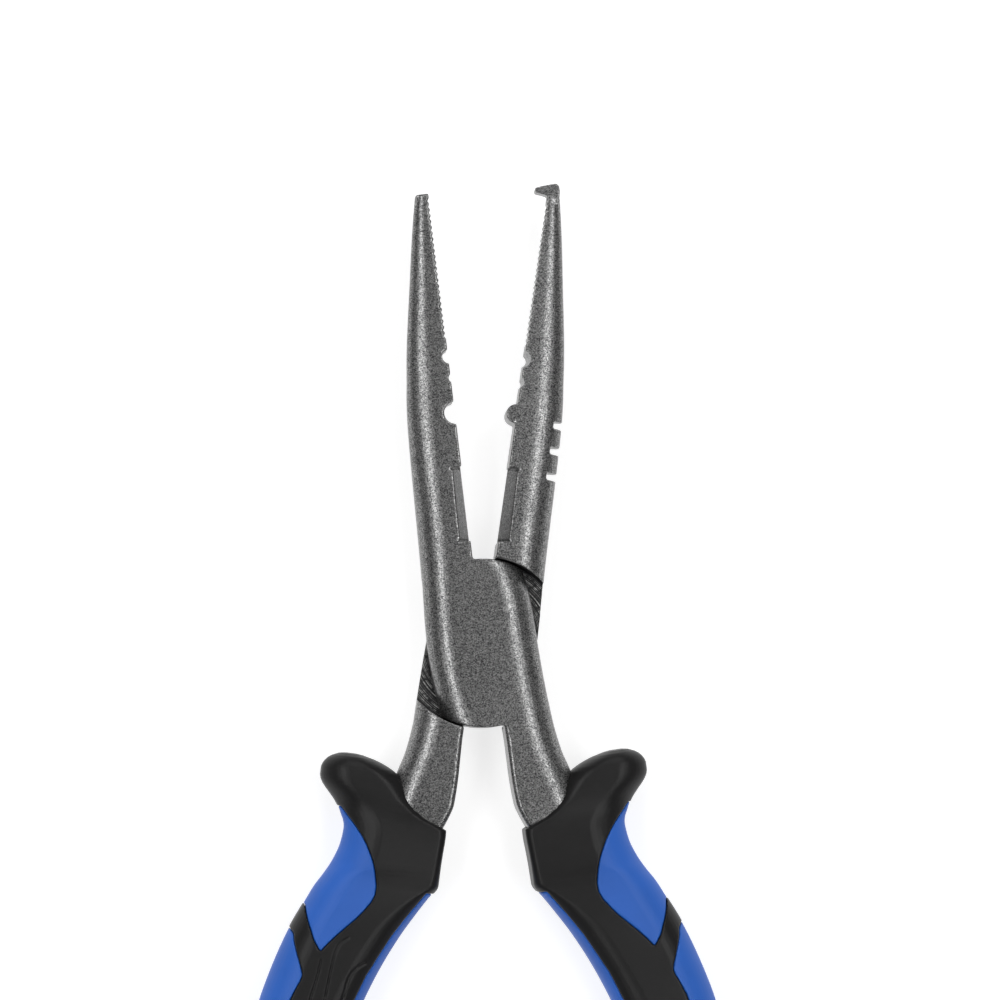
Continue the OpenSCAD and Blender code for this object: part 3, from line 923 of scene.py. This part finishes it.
class PliersGrip(bpy.types.PropertyGroup):
    """Seams and colours of the grips."""
    seam: bpy.props.FloatProperty(
        name="Seam", description="Open seam between cover and core panels",
        default=0.1 * MM, unit="LENGTH", precision=5)
    line_width: bpy.props.FloatProperty(
        name="Engraved line", description="Width of the engraved contour lines",
        default=0.56 * MM, unit="LENGTH", precision=5)
    detail: bpy.props.FloatProperty(
        name="Detail", description="Finest face size of the moulded skin",
        default=0.2 * MM, unit="LENGTH", precision=5)
    core_blue: bpy.props.FloatVectorProperty(
        name="Core", description="Colour of the hard core",
        default=(0.012, 0.12, 0.55), subtype="COLOR", size=3)
    cover_black: bpy.props.FloatVectorProperty(
        name="Cover", description="Colour of the soft cover",
        default=(0.004, 0.0038, 0.004), subtype="COLOR", size=3)


class PliersStage(bpy.types.PropertyGroup):
    """Camera, floor and lights."""
    lens: bpy.props.FloatProperty(
        name="Lens", description="Focal length of the camera",
        default=150.0, subtype="DISTANCE_CAMERA")
    tilt: bpy.props.FloatProperty(
        name="Side tilt", description="How far the camera stands to the left of straight above",
        default=math.radians(3.5), subtype="ANGLE")
    pitch: bpy.props.FloatProperty(
        name="Lower tilt", description="How far the camera stands towards the handles",
        default=math.radians(4), subtype="ANGLE")
    roll: bpy.props.FloatProperty(
        name="Roll", description="Turn of the camera about its own axis",
        default=math.radians(0.7), subtype="ANGLE")
    width: bpy.props.FloatProperty(
        name="Width seen", description="Width of the view at the joint's middle plane",
        default=0.2006, unit="LENGTH")
    floor_grey: bpy.props.FloatProperty(
        name="Floor", description="Brightness of the floor",
        default=0.5, subtype="FACTOR", min=0, max=1)


# ---------------------------------------------------------------- operators

def metal_materials(scene):
    """Paint, bare lap steel and cutter steel, made once."""
    names = ("hammertone_paint", "lap_steel", "cutter_steel")
    if names[0] not in bpy.data.materials:
        hammertone(scene.pliers_forging)
        lap_steel()
        cutter_steel(scene.pliers_forging)
    return [bpy.data.materials[n] for n in names]


class PLIERS_OT_forgings(bpy.types.Operator):
    """Build the two forged halves with their jaws, lap and tangs"""
    bl_idname = "pliers.forgings"
    bl_label = "Forged halves"

    def execute(self, context):
        settings = context.scene.pliers_forging
        metals = metal_materials(context.scene)
        upper = place(upper_forging(settings), "right")
        lower = place(lower_forging(settings), "left")
        finish_piece(upper, "upper_half", "upper_half", metals)
        finish_piece(lower, "lower_half", "lower_half", metals)
        return {"FINISHED"}


class PLIERS_OT_rivet(bpy.types.Operator):
    """Build the pivot rivet, hidden under the paint in front and flush behind"""
    bl_idname = "pliers.rivet"
    bl_label = "Pivot rivet"

    def execute(self, context):
        end = MID - 0.55
        rivet = lathe("pivot_rivet_turned", [
            (0, -MID + 0.02), (2.2, -MID + 0.02), (HEAD_R - 0.35, -MID + 0.03),
            (HEAD_R - 0.1, -MID + 0.09), (HEAD_R, -MID + 0.22), (RIVET_R + 0.05, -MID + HEAD_H),
            (RIVET_R, -MID + HEAD_H + 0.1), (RIVET_R, end - 0.2), (RIVET_R - 0.2, end), (0, end)])
        paint = metal_materials(context.scene)[:1]
        finish_piece(place(rivet, "right"), "upper_half", "pivot_rivet", paint)
        return {"FINISHED"}


class PLIERS_OT_grip_cores(bpy.types.Operator):
    """Build the hard blue cores of both grips"""
    bl_idname = "pliers.grip_cores"
    bl_label = "Grip cores"

    def execute(self, context):
        settings = context.scene.pliers_grip
        blue = blue_plastic(settings)
        right, left = copies(core_shape(settings), "grip_core_moulded")
        finish_piece(right, "upper_half", "right_grip_core", [blue])
        finish_piece(left, "lower_half", "left_grip_core", [blue])
        return {"FINISHED"}


class PLIERS_OT_grip_covers(bpy.types.Operator):
    """Build the soft black covers of both grips"""
    bl_idname = "pliers.grip_covers"
    bl_label = "Grip covers"

    def execute(self, context):
        settings = context.scene.pliers_grip
        black = black_rubber(settings)
        right, left = copies(cover_shape(settings), "grip_cover_moulded")
        finish_piece(right, "upper_half", "right_grip_cover", [black])
        finish_piece(left, "lower_half", "left_grip_cover", [black])
        return {"FINISHED"}


class PLIERS_OT_stage(bpy.types.Operator):
    """Set up the floor, the soft lights and the camera"""
    bl_idname = "pliers.stage"
    bl_label = "Stage"

    def execute(self, context):
        settings = context.scene.pliers_stage
        build_floor(settings)
        build_lights()
        build_camera(settings)
        return {"FINISHED"}


def build_floor(settings):
    """Wide pale disc just under the grips."""
    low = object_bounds()[0].z - 0.0002
    rim = disc_points(0, 0, 4.0)
    mesh = bpy.data.meshes.new("floor")
    mesh.from_pydata([(x, y, low) for x, y in rim], [], [tuple(range(len(rim)))])
    floor = new_object("floor", mesh)
    s = Shader("floor_paper")
    g = settings.floor_grey
    pale = g * 1.01
    s.surface(Base_Color=s.mix(s.noise(400.0, 1.0), (g, g, g, 1), (pale, pale, pale, 1)),
              Roughness=0.9, Emission_Color=(1, 1, 1, 1), Emission_Strength=0.72)
    floor.data.materials.append(s.material)
    floor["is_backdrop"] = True


def build_lights():
    """A sky that is bright at the horizon and dim overhead, and three soft boxes."""
    world = bpy.data.worlds.new("soft_studio")
    world.use_nodes = True
    tree = world.node_tree
    sky = tree.nodes["Background"]
    sky.inputs["Color"].default_value = (1.0, 1.0, 1.0, 1)
    ray = tree.nodes.new("ShaderNodeTexCoord")
    split = tree.nodes.new("ShaderNodeSeparateXYZ")
    fade = tree.nodes.new("ShaderNodeMapRange")
    fade.interpolation_type = "SMOOTHSTEP"
    horizon, overhead = 0.7, 0.15
    for name, value in (("From Min", 0.06), ("From Max", 0.34),
                        ("To Min", horizon), ("To Max", overhead)):
        fade.inputs[name].default_value = value
    tree.links.new(ray.outputs["Generated"], split.inputs["Vector"])
    tree.links.new(split.outputs["Z"], fade.inputs["Value"])
    tree.links.new(fade.outputs["Result"], sky.inputs["Strength"])
    bpy.context.scene.world = world
    for name, place_at, size, power in (
            ("left_box", (-0.45, 0.05, 0.79), (0.28, 1.1), 3.6),
            ("right_box", (0.37, 0.05, 0.83), (0.28, 1.1), 3.6),
            ("far_box", (0.0, 0.75, 0.6), (0.5, 0.3), 1.2)):
        lamp = bpy.data.lights.new(name, "AREA")
        lamp.shape, lamp.size, lamp.size_y, lamp.energy = "RECTANGLE", size[0], size[1], power
        obj = bpy.data.objects.new(name, lamp)
        obj.matrix_world = looking(Vector(place_at), Vector(place_at))
        bpy.context.scene.collection.objects.link(obj)


def looking(back, place_at):
    """Matrix of something that looks against back, with its own Y kept along the tool."""
    back = back.normalized()
    right = Vector((0, 1, 0)).cross(back).normalized()
    m = Matrix((right, back.cross(right), back)).transposed().to_4x4()
    m.translation = place_at
    return m


def build_camera(settings):
    """Almost straight above the joint, jaws upwards, handles running out of the view."""
    cam = bpy.data.cameras.new("camera")
    cam.lens, cam.sensor_width = settings.lens, SENSOR_MM
    distance = settings.width / SENSOR_MM * settings.lens
    obj = bpy.data.objects.new("camera", cam)
    target = Vector((0.0033, 0.0289, MID * MM))
    back = Vector((-math.tan(settings.tilt), -math.tan(settings.pitch), 1)).normalized()
    roll = Matrix.Rotation(settings.roll, 4, "Z")
    obj.matrix_world = looking(back, target + back * distance) @ roll
    cam.clip_start, cam.clip_end = 0.01, 20
    bpy.context.scene.collection.objects.link(obj)
    bpy.context.scene.camera = obj
    bpy.context.scene.view_settings.view_transform = "Standard"


class PLIERS_PT_panel(bpy.types.Panel):
    """Buttons for every part of the pliers"""
    bl_idname = "PLIERS_PT_panel"
    bl_label = "Fishing Pliers"
    bl_space_type = "VIEW_3D"
    bl_region_type = "UI"
    bl_category = "Pliers"

    def draw(self, context):
        for op in OPERATORS:
            self.layout.operator(op.bl_idname)
        for group_name in GROUPS:
            group = getattr(context.scene, group_name)
            box = self.layout.box()
            for name in group.__annotations__:
                box.prop(group, name)


OPERATORS = (PLIERS_OT_forgings, PLIERS_OT_rivet, PLIERS_OT_grip_cores, PLIERS_OT_grip_covers,
             PLIERS_OT_stage)
GROUPS = {"pliers_forging": PliersForging, "pliers_grip": PliersGrip,
          "pliers_stage": PliersStage}


def register():
    for cls in (*GROUPS.values(), *OPERATORS, PLIERS_PT_panel):
        bpy.utils.register_class(cls)
    for name, cls in GROUPS.items():
        setattr(bpy.types.Scene, name, bpy.props.PointerProperty(type=cls))


def unregister():
    for name in GROUPS:
        delattr(bpy.types.Scene, name)
    for cls in (PLIERS_PT_panel, *OPERATORS, *GROUPS.values()):
        bpy.utils.unregister_class(cls)


def main():
    """Build everything in order."""
    register()
    bpy.ops.pliers.forgings()
    bpy.ops.pliers.rivet()
    bpy.ops.pliers.grip_cores()
    bpy.ops.pliers.grip_covers()
    bpy.ops.pliers.stage()


if __name__ == "__main__":
    main()
